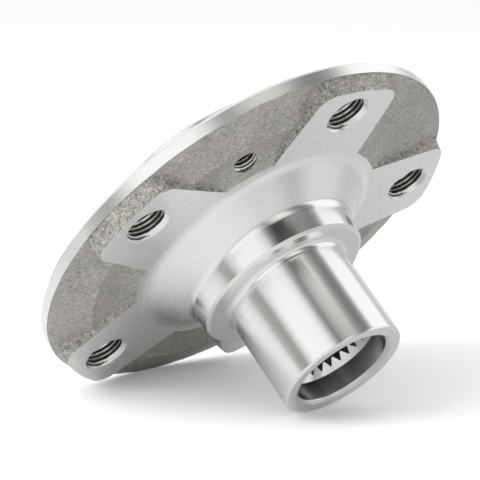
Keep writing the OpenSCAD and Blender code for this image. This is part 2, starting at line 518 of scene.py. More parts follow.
def forged_steel(name, colour, depth, dark, light):
    """Blasted forging skin: fine grain and random tone, with painted shade in its hollows and painted
    glints on its bumps
    """
    material, nodes = new_material(name)
    place = nodes.object_place()
    grain = nodes.noise(place, 1900.0, 3.0, 0.65)
    pits = nodes.noise(place, 800.0, 2.0, 0.6)
    cloud = nodes.noise(place, 90.0, 3.0, 0.6)
    dark = with_alpha(colour, dark)
    light = with_alpha(colour, light)
    # The colour follows the same grain and pits as the relief, so dark hollows are painted shade and
    # pale peaks painted glints; the broad cloud is the skin's own random tone
    shade = ((grain - 0.5) * 1.9 + (pits - 0.5) * 1.1 + (cloud - 0.5) * 0.5 + 0.5).held()
    colour = nodes.blend(shade, dark, light)
    roughness = (0.50 + (pits - 0.5) * 0.3).held(0.3, 0.8)
    relief = nodes.bump(grain * 0.6 + pits, depth)
    finish_material(nodes, {
        "Base Color": colour, "Roughness": roughness, "Metallic": 0.55, "Normal": relief})
    return material


def tool_marks(nodes, place, pitch):
    """Fine and broad rings that a tool leaves, which vary with radius and height only"""
    parts = nodes.tree.nodes.new("ShaderNodeSeparateXYZ")
    nodes.tree.links.new(place.socket, parts.inputs[0])
    x, y, z = (Field(nodes, parts.outputs[i]) for i in range(3))
    along = (x * x + y * y) ** 0.5 + z * 0.83
    waves = []
    for scale, detail in [(1.0 / pitch, 2.0), (0.12 / pitch, 1.0)]:
        waves.append(nodes.add("ShaderNodeTexNoise", {"noise_dimensions": "1D"}, {
            "W": along, "Scale": scale, "Detail": detail}))
    return waves


def machined_steel(name, colour, roughness, pitch, depth, stretch):
    """Steel with the concentric marks of a turning or grinding pass"""
    material, nodes = new_material(name)
    place = nodes.object_place()
    fine, broad = tool_marks(nodes, place, pitch)
    smear = nodes.noise(place, 60.0, 2.0, 0.5)
    shade = ((fine - 0.5) * 0.15 + (broad - 0.5) * 0.5 + (smear - 0.5) * 0.35 + 0.5).held()
    tone = nodes.blend(shade, with_alpha(colour, 0.96), with_alpha(colour, 1.03))
    gloss = (roughness + (fine - 0.5) * 0.03 + (smear - 0.5) * 0.04).held(0.03, 0.8)
    relief = nodes.bump(fine + broad * 0.5, depth)
    finish_material(nodes, {
        "Base Color": tone, "Roughness": gloss, "Metallic": 1.0, "Normal": relief,
        "Anisotropic": stretch, "Anisotropic Rotation": 0.25})
    return material


def bored_steel_with_painted_streaks(name, colour):
    """Steel with painted reflections: pale and dark streaks along the hub's axis"""
    material, nodes = new_material(name)
    place = nodes.object_place()
    flat = nodes.add("ShaderNodeVectorMath", {"operation": "MULTIPLY"}, {
        0: place, 1: (1.0, 1.0, 0.02)})
    fine = nodes.noise(flat, 900.0, 2.0, 0.6)
    broad = nodes.noise(flat, 85.0, 1.0, 0.5)
    # Painted reflections: the streaks stand in for the light and dark that the bore mirrors
    shade = ((fine - 0.5) * 0.8 + (broad - 0.5) * 2.6 + 0.42).held()
    tone = nodes.blend(shade, with_alpha(colour, 0.6), with_alpha(colour, 1.7))
    finish_material(nodes, {
        "Base Color": tone, "Roughness": 0.24, "Metallic": 1.0,
        "Anisotropic": 0.8, "Anisotropic Rotation": 0.25})
    return material


def smooth_max(first, second, width):
    """The larger of two heights, with a fillet where they cross"""
    near = np.maximum(width - np.abs(first - second), 0.0)
    return np.maximum(first, second) + near * near / (4.0 * width)


def smooth_min(first, second, width):
    return -smooth_max(-first, -second, width)


def web_height(r, flange):
    """Height of the forged web at a radius: slope, floor, ridge and outer slope"""
    floor = flange.boss_height - flange.web_drop
    inner = flange.boss_height - (r - flange.web_inner) * flange.web_drop / WEB_SLOPE
    crest = RIDGE_CREST * np.exp(-(((r - flange.ridge) / RIDGE_WIDTH) ** 2))
    sag = WEB_SAG * np.sin(np.clip((r - SAG_START) / (flange.ridge - SAG_START), 0, 1) * math.pi)
    bed = smooth_max(inner, floor - sag, SLOPE_ROUNDING)
    outer_fall = (floor - flange.rim) / (flange.radius - flange.ridge - RIDGE_REACH)
    outer = flange.rim + (flange.radius - r) * outer_fall
    return smooth_min(bed, outer, RIDGE_ROUNDING) + crest


def boss_distance(u, v, flange):
    """Signed distance from a boss face's outline, measured along the face"""
    end = flange.radius - flange.boss_inset
    run = end - flange.boss_corner - flange.web_inner
    lean = math.atan2(flange.boss_root - flange.boss_tip, run)
    half = flange.boss_root - (u - flange.web_inner) * math.tan(lean)
    side = (np.abs(v) - half) * math.cos(lean) + flange.boss_corner
    tip = np.hypot(u, v) - end + flange.boss_corner
    outside = np.hypot(np.maximum(side, 0), np.maximum(tip, 0))
    return outside + np.minimum(np.maximum(side, tip), 0) - flange.boss_corner


def forged_height(x, y, flange, waver=0.0):
    """Height of the forging's skin, before the boss faces are cut flat"""
    r = np.hypot(x, y)
    step = 2 * math.pi / flange.bolts
    turn = np.arctan2(y, x)
    turn = turn - np.round(turn / step) * step
    away = boss_distance(r * np.cos(turn), r * np.sin(turn), flange) + waver
    wall = flange.boss_height + np.minimum(-away * WALL_FALL, WALL_EXCESS)
    web = web_height(r, flange)
    crease = CREASE_DEPTH * np.exp(-(((wall - web) / CREASE_WIDTH) ** 2))
    return smooth_max(wall, web, FOOT_ROUNDING) - crease


def rough(points, amplitude, size, seed):
    """Smooth noise at each point, up to the amplitude either way, with lumps of the given size"""
    shift = Vector((seed * 7.3, seed * 3.1, seed * 5.7))
    return np.array([noise.noise(Vector(point) / size + shift) for point in points]) * amplitude


def ring_radii(flange, core):
    """Radii of the skin's rings, closer together at the bosses' outer ends"""
    field = np.arange(core, flange.radius - RIM_ZONE, RING_SPACING)
    edge = np.linspace(flange.radius - RIM_ZONE, flange.radius, RIM_RINGS)
    return np.concatenate([field, edge])


def ring_angles(r, flange):
    """Angles of one sector's samples, evenly spaced along the skin and sparse above the cut"""
    step = 2 * math.pi / flange.bolts
    r = min(r, flange.radius - flange.boss_inset - flange.boss_corner)
    fine = np.linspace(-step / 2, step / 2, SECTOR_SAMPLES)
    z = forged_height(r * np.cos(fine), r * np.sin(fine), flange)
    run = np.hypot(r * np.diff(fine), np.diff(z))
    run = run * np.where(z[1:] > flange.boss_height + ABOVE_CUT, ABOVE_SHARE, 1.0)
    length = np.concatenate([[0.0], np.cumsum(run)])
    wanted = np.linspace(0, length[-1], SECTOR_POINTS + 1)[:-1]
    return np.interp(wanted, length, fine)


def grid_faces(rings, columns):
    """Quads between neighbouring rings of a closed grid"""
    faces = []
    for i in range(rings - 1):
        for j in range(columns):
            k = (j + 1) % columns
            low, high = i * columns, (i + 1) * columns
            faces.append((low + j, high + j, high + k, low + k))
    return faces


def cap(bm, z, facing, material, drop=0.0):
    """Fills the region between the open edges at one height, or down to a drop below it"""
    rim = [e for e in bm.edges if e.is_boundary
           and all(z - drop - TOUCH < v.co.z < z + TOUCH for v in e.verts)]
    made = bmesh.ops.triangle_fill(
        bm, use_beauty=True, use_dissolve=False, edges=rim, normal=(0, 0, facing))
    for item in made["geom"]:
        if isinstance(item, bmesh.types.BMFace):
            item.material_index = material


def with_holding_points(outline, size):
    """Adds a point near both ends of each long stretch, which keeps its shading straight"""
    result = [outline[0]]
    for start, end in zip(outline, outline[1:]):
        run = Vector(end) - Vector(start)
        if run.length > 8 * size:
            step = run.normalized() * size
            result += [tuple(Vector(start) + step), tuple(Vector(end) - step)]
        result.append(end)
    return result


def add_turned_strip(bm, outline, material):
    """Sweeps an open outline of radius and height round the axis"""
    rings = []
    for r, z in with_holding_points(outline, HOLDING):
        ring = []
        for j in range(TURNED_SIDES):
            a = 2 * math.pi * j / TURNED_SIDES
            ring.append(bm.verts.new((r * math.cos(a), r * math.sin(a), z)))
        rings.append(ring)
    for low, high in zip(rings, rings[1:]):
        for j in range(TURNED_SIDES):
            k = (j + 1) % TURNED_SIDES
            face = bm.faces.new((low[j], low[k], high[k], high[j]))
            face.material_index = material


def add_mesh(bm, mesh, material):
    known = set(bm.faces)
    bm.from_mesh(mesh)
    for face in bm.faces:
        if face not in known:
            face.material_index = material
    bpy.data.meshes.remove(mesh)


def arc(centre, radius, start, end, steps):
    """Hollow corner of a turned outline; 0 is heading inwards and 90 is heading up"""
    points = []
    for i in range(steps + 1):
        a = math.radians(start + (end - start) * i / steps)
        points.append((centre[0] - radius * math.sin(a), centre[1] - radius * math.cos(a)))
    return points


def eased(outline, size):
    """Cuts each clear corner of an outline back by a small flat, as a file would"""
    result = [outline[0]]
    for before, corner, after in zip(outline, outline[1:], outline[2:]):
        back = Vector(before) - Vector(corner)
        on = Vector(after) - Vector(corner)
        if back.length < 4 * size or on.length < 4 * size or abs(back.angle(on) - math.pi) < 0.3:
            result.append(corner)
            continue
        result.append(tuple(Vector(corner) + back.normalized() * size))
        result.append(tuple(Vector(corner) + on.normalized() * size))
    result.append(outline[-1])
    return result


def finish_piece(bm, name, materials, nodes):
    """Welds a piece, marks its sharp edges, counts its open edges and attaches it to the hub's body in
    place of its parts
    """
    bmesh.ops.remove_doubles(bm, verts=bm.verts, dist=WELD)
    bmesh.ops.dissolve_degenerate(bm, dist=1e-8, edges=bm.edges)
    bmesh.ops.recalc_face_normals(bm, faces=bm.faces)
    for face in bm.faces:
        face.smooth = True
    for edge in bm.edges:
        if len(edge.link_faces) == 2:
            first, second = edge.link_faces
            stock = [materials[face.material_index].name for face in (first, second)]
            skin = all(made.startswith("forged") for made in stock)
            soft = stock[0] == stock[1] and edge.calc_face_angle(0.0) < SHARP
            edge.smooth = skin or soft
    open_edges = sum(1 for e in bm.edges if not e.is_manifold)
    print("piece", name, "faces", len(bm.faces), "open edges", open_edges)
    mesh = bpy.data.meshes.new(name)
    bm.to_mesh(mesh)
    bm.free()
    for material in materials:
        mesh.materials.append(material)
    piece = bpy.data.objects.new(name, mesh)
    bpy.context.collection.objects.link(piece)
    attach(piece, BODY)
    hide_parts(*nodes)


def new_tree(name, inputs):
    """An empty Geometry Nodes tree with named number inputs"""
    tree = bpy.data.node_groups.new(name, "GeometryNodeTree")
    for label, kind in inputs.items():
        tree.interface.new_socket(label, in_out="INPUT", socket_type=kind)
    tree.interface.new_socket("Geometry", in_out="OUTPUT", socket_type="NodeSocketGeometry")
    nodes = Nodes(tree)
    entry = tree.nodes.new("NodeGroupInput")
    return tree, nodes, {label: Field(nodes, entry.outputs[label]) for label in inputs}


def end_tree(nodes, geometry, material):
    real = nodes.add("GeometryNodeRealizeInstances", None, {"Geometry": geometry})
    merged = nodes.add("GeometryNodeMergeByDistance", None, {"Geometry": real, "Distance": WELD})
    dressed = nodes.add("GeometryNodeSetMaterial", None, {"Geometry": merged, "Material": material})
    nodes.add("NodeGroupOutput", None, {"Geometry": dressed})


def made_by(tree, values):
    """Evaluates a tree with the given inputs and gives back its plain mesh"""
    carrier = bpy.data.objects.new(tree.name, bpy.data.meshes.new(tree.name))
    bpy.context.collection.objects.link(carrier)
    modifier = carrier.modifiers.new("shape", "NODES")
    modifier.node_group = tree
    for item in tree.interface.items_tree:
        if item.in_out == "INPUT":
            modifier[item.identifier] = values[item.name]
    graph = bpy.context.evaluated_depsgraph_get()
    mesh = bpy.data.meshes.new_from_object(carrier.evaluated_get(graph))
    bpy.data.objects.remove(carrier)
    return mesh


def tapped_holes_tree(material):
    """Threaded hole walls round a circle: a helical grid whose rows follow the thread"""
    labels = ["Crest", "Root", "Pitch", "Foot", "Top", "Mouth", "Circle", "Angle"]
    inputs = {label: "NodeSocketFloat" for label in labels}
    inputs["Holes"] = "NodeSocketInt"
    inputs["Segments"] = "NodeSocketInt"
    tree, nodes, size = new_tree("tapped_holes", inputs)
    per_turn = 8.0
    crest_share, depth_share = 0.25, 0.625
    turns = ((size["Top"] - size["Foot"]) / size["Pitch"] + 3.0).floor()
    rows = turns * per_turn + 1.0
    grid = nodes.add("GeometryNodeMeshGrid", None, {
        "Vertices X": size["Segments"] + 1.0, "Vertices Y": rows})
    index = nodes.add("GeometryNodeInputIndex")
    column = (index / rows).floor()
    row = index - column * rows
    share = column / size["Segments"]
    angle = share * (2 * math.pi)
    height = size["Foot"] + (row / per_turn - 1.0 + share) * size["Pitch"]
    z = height.most(size["Foot"]).least(size["Top"])
    wave = abs((row / per_turn) % 1.0 * 2.0 - 1.0)
    depth = ((wave - crest_share) / depth_share).held()
    thread = size["Crest"] + (size["Root"] - size["Crest"]) * depth
    top_cone = size["Mouth"] - (size["Top"] - z)
    foot_cone = size["Root"] + TAP_RELIEF - (z - size["Foot"])
    r = thread.most(top_cone).most(foot_cone)
    place = nodes.add("ShaderNodeCombineXYZ", None, {
        0: r * angle.cosine(), 1: r * angle.sine(), 2: z})
    wall = nodes.add("GeometryNodeSetPosition", None, {"Geometry": grid, "Position": place})
    wall = nodes.add("GeometryNodeMergeByDistance", None, {"Geometry": wall, "Distance": WELD})
    circle = nodes.add("GeometryNodeMeshCircle", None, {
        "Vertices": size["Holes"].most(3.0), "Radius": size["Circle"]})
    chosen = nodes.add("FunctionNodeCompare", {"data_type": "FLOAT", "operation": "LESS_THAN"}, {
        0: nodes.add("GeometryNodeInputIndex"), 1: size["Holes"]})
    holes = nodes.add("GeometryNodeInstanceOnPoints", None, {
        "Points": circle, "Instance": wall, "Selection": chosen})
    turn = nodes.add("ShaderNodeCombineXYZ", None, {2: size["Angle"]})
    turned = nodes.add("GeometryNodeTransform", None, {"Geometry": holes, "Rotation": turn})
    end_tree(nodes, turned, material)
    return tree


def splines_tree(material):
    """Wall of a splined hole: one groove and one tooth tip, repeated round the axis"""
    inputs = {"Teeth": "NodeSocketInt"}
    for label in ["Root", "Crest", "Low", "High", "Lead", "Turn"]:
        inputs[label] = "NodeSocketFloat"
    tree, nodes, size = new_tree("shaft_splines", inputs)
    grid = nodes.add("GeometryNodeMeshGrid", None, {"Vertices X": 5, "Vertices Y": 2})
    index = nodes.add("GeometryNodeInputIndex")
    column = (index / 2.0).floor()
    row = index - column * 2.0
    step = (size["Teeth"] ** -1.0) * (2 * math.pi)
    flank, bottom, tip = 0.37, 0.1, 0.16
    share = (column.held() * flank + (column - 1.0).held() * bottom
             + (column - 2.0).held() * flank + (column - 3.0).held() * tip
             - (flank + bottom / 2))
    groove = (1.5 - abs(column - 1.5)).held()
    r = size["Crest"] + (size["Root"] - size["Crest"]) * groove
    angle = share * step
    top = size["High"] + (r - size["Crest"]) * size["Lead"]
    z = size["Low"] + (top - size["Low"]) * row
    place = nodes.add("ShaderNodeCombineXYZ", None, {
        0: r * angle.cosine(), 1: r * angle.sine(), 2: z})
    tooth = nodes.add("GeometryNodeSetPosition", None, {"Geometry": grid, "Position": place})
    points = nodes.add("GeometryNodePoints", None, {
        "Count": size["Teeth"], "Position": (0.0, 0.0, 0.0)})
    turned = (nodes.add("GeometryNodeInputIndex") + size["Turn"]) * step
    turn = nodes.add("ShaderNodeCombineXYZ", None, {2: turned})
    ring = nodes.add("GeometryNodeInstanceOnPoints", None, {
        "Points": points, "Instance": tooth, "Rotation": turn})
    end_tree(nodes, ring, material)
    return tree


def stock_material(name):
    """The material of that name, made when a piece first asks for it"""
    finish = bpy.context.scene.hub_finishes
    if name in bpy.data.materials:
        return bpy.data.materials[name]
    if name in FORGED_SKINS:
        return forged_steel(name, finish.forged, *FORGED_SKINS[name])
    if name == "bored_finish_and_painted_streaks":
        return bored_steel_with_painted_streaks(name, finish.bored)
    colour, roughness = {
        "turned_finish": (finish.turned, finish.turned_roughness),
        "ground_finish": (finish.ground, finish.ground_roughness),
        "cut_finish": (finish.cut, CUT_ROUGHNESS),
        "thread_root_shade": (finish.thread_root_shade, THREAD_ROOT_ROUGHNESS)}[name]
    return machined_steel(name, colour, roughness, *TOOL_MARKS[name])


def screw_angle(flange):
    """The disc screw lies midway between the second and the third boss"""
    return 1.5 * 2 * math.pi / flange.bolts


def screw_place(flange, cuts):
    angle = screw_angle(flange)
    return cuts.screw_circle * math.cos(angle), cuts.screw_circle * math.sin(angle)


def screw_top(flange):
    """Height at which the disc screw's thread ends under the web's skin"""
    return flange.boss_height - flange.web_drop - SCREW_SUNK


def skin_grid(flange, turned, middle, mouth):
    """Points of the forged skin in rings, drawn aside round the disc screw's hole"""
    step = 2 * math.pi / flange.bolts
    radii = ring_radii(flange, turned.core)
    sectors = []
    for r in radii:
        fine = ring_angles(r, flange)
        sectors.append(np.concatenate([fine + step * i for i in range(flange.bolts)]))
    angles = np.array(sectors)
    x = radii[:, None] * np.cos(angles)
    y = radii[:, None] * np.sin(angles)
    dx, dy = x - middle[0], y - middle[1]
    away = np.hypot(dx, dy)
    stretch = (SCREW_REACH - mouth) / (SCREW_REACH - SCREW_DROPPED)
    drawn = mouth + (away - SCREW_DROPPED) * stretch
    near = (away < SCREW_REACH) & (away > SCREW_DROPPED)
    x = np.where(near, middle[0] + dx / away * drawn, x)
    y = np.where(near, middle[1] + dy / away * drawn, y)
    points = np.stack([x.ravel(), y.ravel(), np.zeros(x.size)], axis=1)
    relief = rough(points, *LUMPS) + rough(points, *GRAINS)
    height = forged_height(points[:, 0], points[:, 1], flange, rough(points, *WAVER))
    points[:, 2] = height + relief
    return points, angles.shape, (away <= SCREW_DROPPED).ravel()


def add_skin(bm, flange, turned, cuts):
    """Adds the forged skin and its turned rim, and gives back the edge round the disc screw"""
    place = screw_place(flange, cuts)
    mouth = cuts.screw_thread + SCREW_EDGE
    points, (rings, columns), dropped = skin_grid(flange, turned, place, mouth)
    verts = [bm.verts.new(point) for point in points]
    for quad in grid_faces(rings, columns):
        if not any(dropped[i] for i in quad):
            bm.faces.new([verts[i] for i in quad])
    outer = verts[(rings - 1) * columns:]
    for vert in [v for v in verts if not v.link_faces]:
        bm.verts.remove(vert)
    hole = [v for v in bm.verts if v.is_boundary
            and math.hypot(v.co.x - place[0], v.co.y - place[1]) < SCREW_SEARCH]
    for vert in hole:
        spoke = Vector((vert.co.x - place[0], vert.co.y - place[1]))
        spoke.length = mouth
        vert.co.x, vert.co.y = place[0] + spoke.x, place[1] + spoke.y
    above = bm.verts[:] + bm.edges[:] + bm.faces[:]
    bmesh.ops.bisect_plane(
        bm, geom=above, dist=1e-7, plane_co=(0, 0, flange.boss_height), plane_no=(0, 0, 1),
        clear_outer=True)
    band = [[bm.verts.new((v.co.x, v.co.y, flange.rim_chamfer)) for v in outer]]
    shrink = 1 - flange.rim_chamfer / flange.radius
    band.append([bm.verts.new((v.co.x * shrink, v.co.y * shrink, 0)) for v in outer])
    for high, low in zip([outer] + band, band):
        for j in range(columns):
            k = (j + 1) % columns
            bm.faces.new((high[j], low[j], low[k], high[k])).material_index = FACED
    bm.normal_update()
    # Steep faces take the wall finish, whose colour paints shade on them
    for face in bm.faces:
        if face.material_index == SKIN and abs(face.normal.z) < WALL_RISE:
            face.material_index = WALL
    return [e for e in bm.edges if e.is_boundary and all(
        abs(math.hypot(v.co.x - place[0], v.co.y - place[1]) - mouth) < TOUCH for v in e.verts)]


def add_tapped_holes(bm, material, radius, pitch, top, mouth, circle, angle, holes):
    """Adds threaded hole walls round a circle, from the disc face up to a height"""
    add_mesh(bm, made_by(tapped_holes_tree(material), {
        "Crest": radius - CREST * pitch, "Root": radius, "Pitch": pitch, "Foot": 0.0, "Top": top,
        "Mouth": mouth, "Circle": circle, "Angle": angle, "Holes": holes,
        "Segments": TAPPED_SIDES}), TAPPED)


def add_disc_screw_hole(bm, edge_of_skin, flange, cuts, material):
    """Taps the disc screw's hole and joins its mouth to the skin round it"""
    top = screw_top(flange)
    before = set(bm.edges)
    add_tapped_holes(bm, material, cuts.screw_thread, cuts.screw_pitch, top,
                     cuts.screw_thread + TAP_RELIEF, cuts.screw_circle, screw_angle(flange), 1)
    mouth = [e for e in bm.edges if e not in before and e.is_boundary
             and all(abs(v.co.z - top) < TOUCH for v in e.verts)]
    joined = bmesh.ops.bridge_loops(bm, edges=edge_of_skin + mouth)
    for face in joined["faces"]:
        face.material_index = TAPPED


def dress_threads(bm, places, thread, pitch, mouth, top):
    """Paints shade into the bottoms of a thread's turns with a near-black colour, and gives its
    countersink the turned finish
    """
    bottom, beyond = thread - 0.27 * pitch, thread + 0.02 * MM
    for face in bm.faces:
        spot = face.calc_center_median()
        away = min(math.hypot(spot.x - x, spot.y - y) for x, y in places)
        if face.material_index != TAPPED or away > mouth:
            continue
        countersink = mouth - top + spot.z
        if countersink > thread - pitch and abs(away - countersink) < 0.05 * MM:
            face.material_index = FACED
        # Painted shade: the bottoms of the turns get the near-black colour
        elif bottom < away < beyond:
            face.material_index = THREAD_ROOT_SHADE


class HubOperator:
    """What the operators of this panel share"""

    bl_options = {"REGISTER", "UNDO"}

    @staticmethod
    def sizes():
        scene = bpy.context.scene
        return scene.hub_flange, scene.hub_turned, scene.hub_cuts


class HUB_OT_forged_flange(HubOperator, bpy.types.Operator):
    """Make the forged flange with its five bosses, machined faces and tapped holes"""

    bl_idname = "hub.forged_flange"
    bl_label = "Forged flange"

    def execute(self, context):
        flange, turned, cuts = self.sizes()
        materials = [stock_material(name) for name in FLANGE_FINISHES]
        bm = bmesh.new()
        edge_of_skin = add_skin(bm, flange, turned, cuts)
        add_disc_screw_hole(bm, edge_of_skin, flange, cuts, materials[TAPPED])
        add_tapped_holes(bm, materials[TAPPED], cuts.bolt_thread, cuts.bolt_pitch,
                         flange.boss_height, cuts.bolt_mouth, flange.bolt_circle, 0.0, flange.bolts)
        angles = [2 * math.pi / flange.bolts * i for i in range(flange.bolts)]
        bolt_places = [(flange.bolt_circle * math.cos(a), flange.bolt_circle * math.sin(a))
                       for a in angles]
        dress_threads(bm, bolt_places, cuts.bolt_thread, cuts.bolt_pitch, cuts.bolt_mouth,
                      flange.boss_height)
        dress_threads(bm, [screw_place(flange, cuts)], cuts.screw_thread, cuts.screw_pitch,
                      cuts.screw_thread + TAP_RELIEF, screw_top(flange))
        add_turned_strip(bm, [(turned.core, 0), (turned.core, flange.boss_height)], FACED)
        cap(bm, flange.boss_height, 1, FACED)
        cap(bm, 0, -1, FACED)
        finish_piece(bm, "forged_flange", materials, ["flange_disc"] + BOSS_NODES)
        return {"FINISHED"}


def splined_wall(bm, cuts, low, high, material, index, lead=0.0):
    """Adds the splined hole's wall; its upper edge may rise outwards with a lead-in cone"""
    add_mesh(bm, made_by(splines_tree(material), {
        "Teeth": cuts.splines, "Root": cuts.spline_root, "Crest": cuts.spline_crest,
        "Low": low, "High": high, "Lead": lead, "Turn": cuts.spline_turn}), index)


def body_side(flange, turned):
    """Outlines of the cone with its foot, and of the hollow between the cone and the neck"""
    slope = math.atan2(turned.neck_foot - flange.boss_height,
                       turned.core - turned.cone_step - turned.neck)
    blend = turned.cone_step / math.tan(slope / 2)
    foot = arc((turned.core, flange.boss_height + blend), blend, 0, math.degrees(slope), 16)
    side = math.pi / 2 - turned.neck_draft
    lean = math.tan(turned.neck_draft)
    run = 1 / math.tan(slope)
    meet = (turned.neck_foot * run - turned.collar * lean) / (run - lean)
    corner = Vector((turned.neck + (turned.collar - meet) * lean, meet))
    fillet = turned.neck_fillet
    reach = fillet * math.tan((side - slope) / 2)
    touch = corner + Vector((-math.cos(side), math.sin(side))) * reach
    centre = touch + Vector((math.sin(side), math.cos(side))) * fillet
    root = arc(centre, fillet, math.degrees(slope), math.degrees(side), 14)
    return [(turned.core, 0)] + foot + [root[0]], root


class HUB_OT_turned_body(HubOperator, bpy.types.Operator):
    """Make the turned cone and the ground neck, as far as the collar's edge"""

    bl_idname = "hub.turned_body"
    bl_label = "Turned body"

    def execute(self, context):
        flange, turned, cuts = self.sizes()
        materials = [stock_material(name) for name in [
            "turned_finish", "ground_finish", "cut_finish"]]
        faced, ground, splined = range(3)
        cone, root = body_side(flange, turned)
        bm = bmesh.new()
        add_turned_strip(bm, cone, faced)
        add_turned_strip(bm, root + [(turned.neck, turned.collar)], ground)
        splined_wall(bm, cuts, 0.0, turned.collar, materials[splined], splined)
        cap(bm, turned.collar, 1, ground)
        cap(bm, 0, -1, faced)
        finish_piece(bm, "turned_body", materials, ["hub_body"])
        return {"FINISHED"}


class HUB_OT_ground_journal(HubOperator, bpy.types.Operator):
    """Make the ground shoulder and bearing journal, with the counterbore in its end"""

    bl_idname = "hub.ground_journal"
    bl_label = "Ground journal"

    def execute(self, context):
        _, turned, cuts = self.sizes()
        materials = [stock_material(name) for name in [
            "ground_finish", "turned_finish", "bored_finish_and_painted_streaks", "cut_finish"]]
        ground, faced, bored, splined = range(4)
        fillet = turned.journal_fillet
        corner = arc((turned.journal + fillet, turned.shoulder + fillet), fillet, 0, 90, 12)
        barrel = eased([(turned.neck, turned.collar),
                        (turned.neck - turned.collar_bevel, turned.shoulder)]
                       + corner
                       + [(turned.journal, turned.journal_end - turned.end_chamfer),
                          (turned.journal - turned.end_chamfer, turned.journal_end)],
                       JOURNAL_EASE)
        floor = turned.journal_end - turned.counterbore_depth
        bore = eased([barrel[-1], (turned.counterbore + turned.mouth_bevel, turned.journal_end),
                      (turned.counterbore, turned.journal_end - turned.mouth_depth),
                      (turned.counterbore, floor)], JOURNAL_EASE)
        lead_depth = (turned.counterbore - cuts.spline_crest) * cuts.spline_lead
        bm = bmesh.new()
        add_turned_strip(bm, barrel, ground)
        add_turned_strip(bm, bore[:-1], faced)
        add_turned_strip(bm, bore[-2:], bored)
        splined_wall(bm, cuts, turned.collar, floor - lead_depth, materials[splined], splined,
                     cuts.spline_lead)
        cap(bm, floor, 1, faced, lead_depth)
        cap(bm, turned.collar, -1, ground)
        finish_piece(bm, "ground_journal", materials, ["bearing_journal"])
        return {"FINISHED"}


class HUB_OT_centring_ring(HubOperator, bpy.types.Operator):
    """Make the ring that centres the wheel, with the hollow for the shaft's nut"""

    bl_idname = "hub.centring_ring"
    bl_label = "Wheel centring ring"

    def execute(self, context):
        _, turned, cuts = self.sizes()
        materials = [stock_material(name) for name in ["turned_finish", "cut_finish"]]
        faced, splined = range(2)
        step, step_end = 0.6 * MM, -3.0 * MM
        root = turned.pilot + step
        lead, bevel = turned.ring_lead, 1.2 * MM
        outline = eased([
            (root, 0), (root, step_end), (turned.pilot, step_end - step),
            (turned.pilot, turned.pilot_end + lead), (turned.pilot - lead, turned.pilot_end),
            (turned.nut_recess + bevel, turned.pilot_end),
            (turned.nut_recess, turned.pilot_end + bevel),
            (turned.nut_recess, turned.nut_seat)], RING_EASE)
        bm = bmesh.new()
        add_turned_strip(bm, outline, faced)
        splined_wall(bm, cuts, turned.nut_seat, 0.0, materials[splined], splined)
        cap(bm, turned.nut_seat, -1, faced)
        cap(bm, 0, 1, faced)
        finish_piece(bm, "wheel_centring_ring", materials, ["wheel_pilot"])
        return {"FINISHED"}


def floor_material(stage):
    """Pale floor that keeps the hub's shadow and is clear from below. To rays other than the camera's
    its colour is darker, and darker still far from the hub, which paints shade into the floor that the
    steel mirrors
    """
    material, nodes = new_material("studio_floor")
    seen = nodes.add("ShaderNodeLightPath", output="Is Camera Ray")
    place = nodes.object_place()
    away = nodes.add("ShaderNodeVectorMath", {"operation": "LENGTH"}, {0: place}, output="Value")
    # Painted shade: seen in reflections and bounced light the floor's colour is darker than the camera
    # sees it, and fades darker away from the hub
    fall = ((away - FALL_START) / FALL_WIDTH).held()
    mirrored = nodes.blend(fall, with_alpha(stage.floor, stage.floor_near),
                           with_alpha(stage.floor, stage.floor_far))
    tone = nodes.blend(seen, mirrored, with_alpha(stage.floor))
    paint = nodes.add("ShaderNodeBsdfDiffuse", None, {"Color": tone})
    glow = nodes.add("ShaderNodeEmission", None, {
        "Color": with_alpha(stage.floor), "Strength": seen * stage.floor_glow})
    shown = nodes.add("ShaderNodeAddShader", None, {0: paint, 1: glow})
    below = nodes.add("ShaderNodeNewGeometry", output="Backfacing")
    clear = nodes.add("ShaderNodeBsdfTransparent")
    surface = nodes.add("ShaderNodeMixShader", None, {0: below, 1: shown, 2: clear})
    nodes.add("ShaderNodeOutputMaterial", None, {"Surface": surface})
    return material


def studio_world(stage):
    """White wherever it is seen or mirrored, and a plain even light otherwise"""
    world = bpy.data.worlds.new("studio")
    world.use_nodes = True
    nodes = Nodes(world.node_tree)
    camera, glossy, transmission = (
        nodes.add("ShaderNodeLightPath", output=f"Is {ray} Ray")
        for ray in ["Camera", "Glossy", "Transmission"])
    seen = (camera + glossy + transmission).held()
    strength = seen * (1.0 - stage.ambient) + stage.ambient
    light = nodes.add("ShaderNodeBackground", None, {
        "Color": (1.0, 1.0, 1.0, 1.0), "Strength": strength})
    nodes.add("ShaderNodeOutputWorld", None, {"Surface": light})
    bpy.context.scene.world = world


